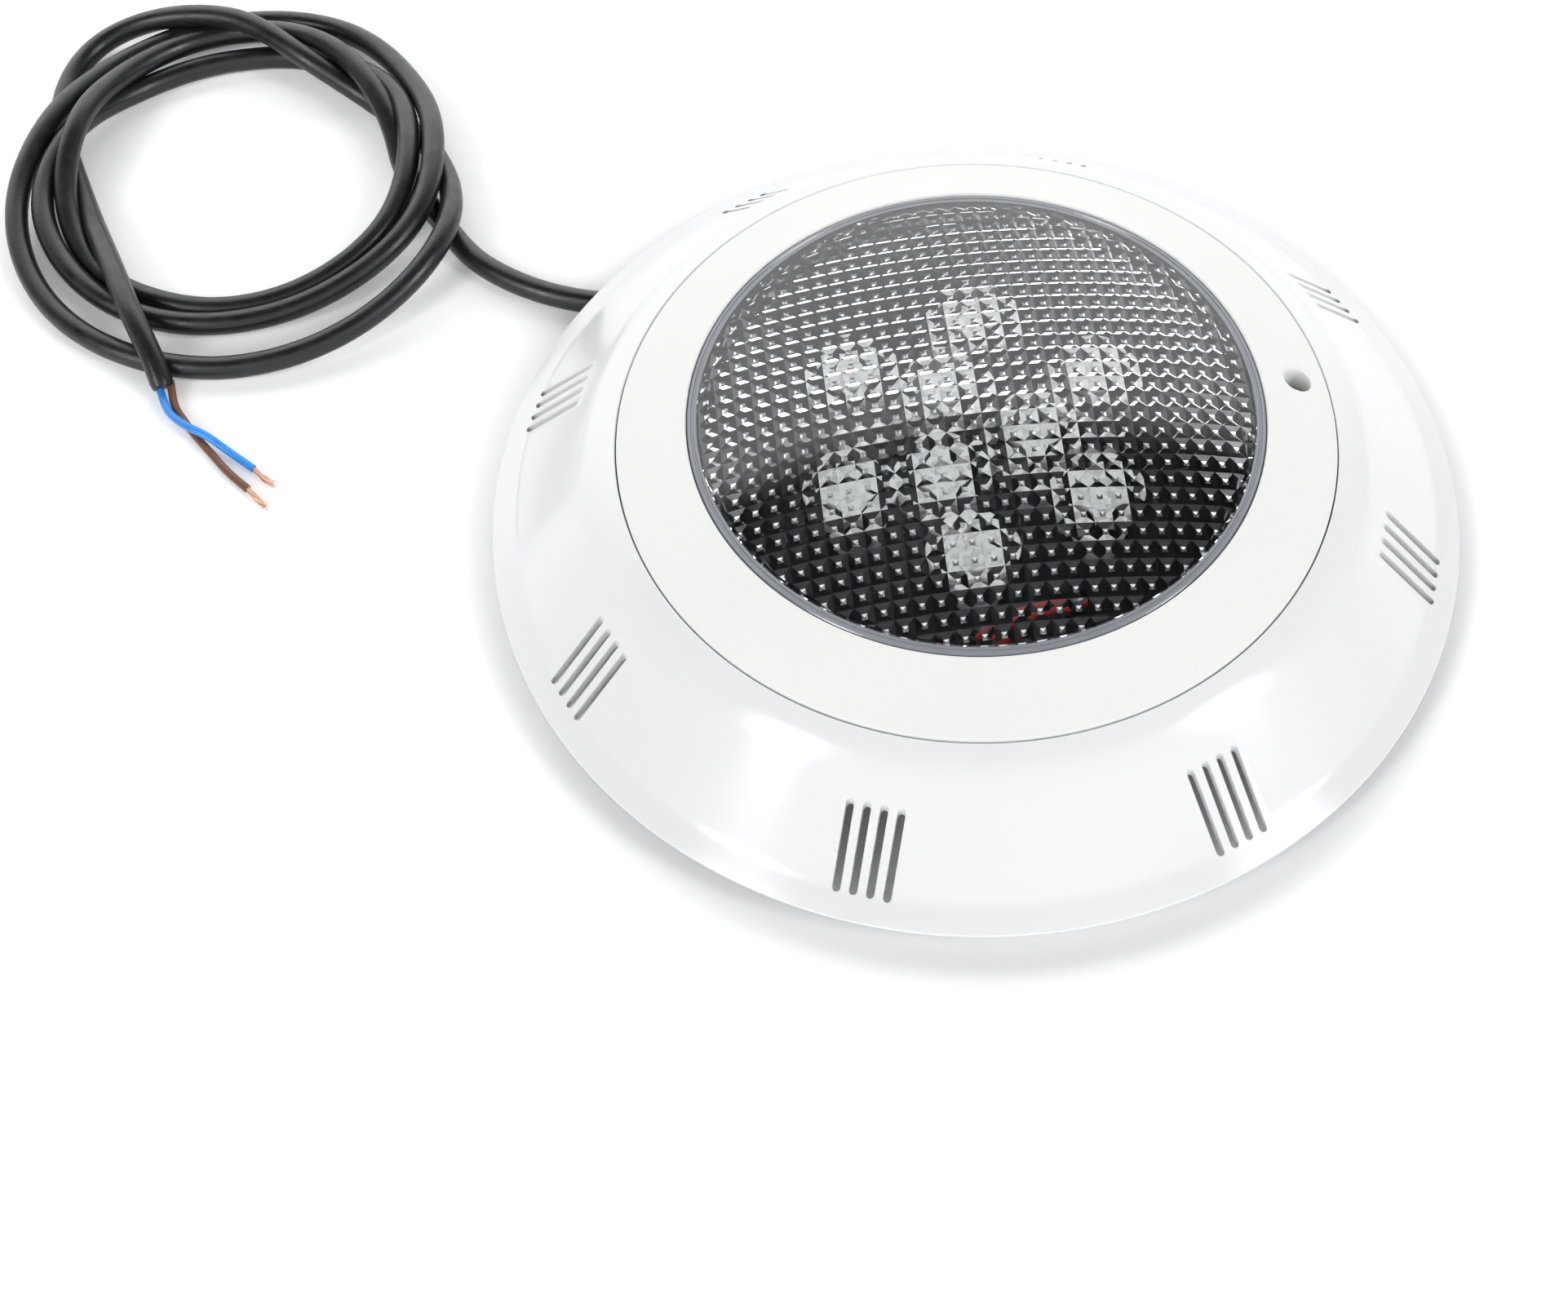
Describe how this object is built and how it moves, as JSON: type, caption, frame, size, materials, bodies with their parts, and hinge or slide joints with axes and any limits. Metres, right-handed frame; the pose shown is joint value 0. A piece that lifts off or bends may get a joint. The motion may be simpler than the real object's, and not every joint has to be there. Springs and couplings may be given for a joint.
{
  "type": "pool light",
  "caption": "Round wall-mounted underwater light: slotted trim ring, bezel, prismatic domed lens over a ring of emitters, wall bracket, and a coiled cable with stripped ends.",
  "frame": {"origin": "on the wall bracket's back face, on the lamp's axis", "axes": "+Z out of the wall along the lamp's axis, +X towards the fixing screw"},
  "size_m": [0.454, 0.402, 0.068],
  "materials": {
    "bracket_plastic": "satin",
    "housing_plastic": "satin",
    "seal_rubber": "matte",
    "lens_clear": "gloss",
    "bezel_plastic": "matte",
    "screw_steel": "satin",
    "trim_plastic": "gloss",
    "washer_nylon": "satin",
    "spreader_aluminium": "satin",
    "board_black": "satin",
    "led_face": "satin",
    "holder_plastic": "satin",
    "collimator_clear": "gloss",
    "mask_black": "satin",
    "board_green": "satin",
    "capacitor_sleeve": "gloss",
    "inductor_copper": "satin",
    "chip_black": "matte",
    "terminal_green": "gloss",
    "wire_red": "gloss",
    "wire_black": "gloss",
    "wire_brown": "gloss",
    "wire_blue": "gloss",
    "cable_rubber": "satin",
    "gland_plastic": "satin",
    "strand_copper": "metallic"
  },
  "bodies": {
    "bracket": {"wall_bracket": "bracket_plastic", "cord_lead": "cable_rubber", "cord_coil": "cable_rubber", "wire_brown": "wire_brown", "wire_blue": "wire_blue", "strands_brown": "strand_copper", "strands_blue": "strand_copper"},
    "lamp": {"lamp_housing": "housing_plastic", "lens_gasket": "seal_rubber", "lens": "lens_clear", "bezel": "bezel_plastic", "bezel_screws": "screw_steel", "heat_spreader": "spreader_aluminium", "spreader_screws": "screw_steel", "led_board": "board_black", "led_emitters": "led_face", "collimator_holders": "holder_plastic", "collimators": "collimator_clear", "mask_plate": "mask_black", "driver_board": "board_green", "driver_screws": "screw_steel", "capacitors": "capacitor_sleeve", "inductor": "inductor_copper", "control_chips": "chip_black", "terminal_block": "terminal_green", "lead_red": "wire_red", "lead_black": "wire_black", "inner_core_brown": "wire_brown", "inner_core_blue": "wire_blue", "cable_inner_end": "cable_rubber", "gland_body": "gland_plastic", "gland_gasket": "seal_rubber", "gland_seal": "seal_rubber", "gland_cap": "gland_plastic", "strain_relief": "cable_rubber"},
    "trim": {"trim_ring": "trim_plastic"},
    "screw_washer": {"fixing_screw_washer": "washer_nylon"},
    "screw": {"fixing_screw": "screw_steel"}
  },
  "joints": [
    {"name": "lamp_lift", "type": "slide", "parent": "bracket", "child": "lamp", "axis": [0, 0, 1], "range_m": [0, 0.03]},
    {"name": "trim_lift", "type": "slide", "parent": "lamp", "child": "trim", "axis": [0, 0, 1], "range_m": [0, 0.05]},
    {"name": "screw_travel", "type": "slide", "parent": "lamp", "child": "screw_washer", "axis": [0, 0, 1], "range_m": [0, 0.0119]},
    {"name": "screw_turn", "type": "hinge", "parent": "screw_washer", "child": "screw", "pos_m": [0.095, 0, 0.03], "axis": [0, 0, 1], "range_deg": [0, 3061]}
  ],
  "couplings": [
    {"joint": "screw_turn", "follows": "screw_travel", "rad_per_m": 4488}
  ]
}
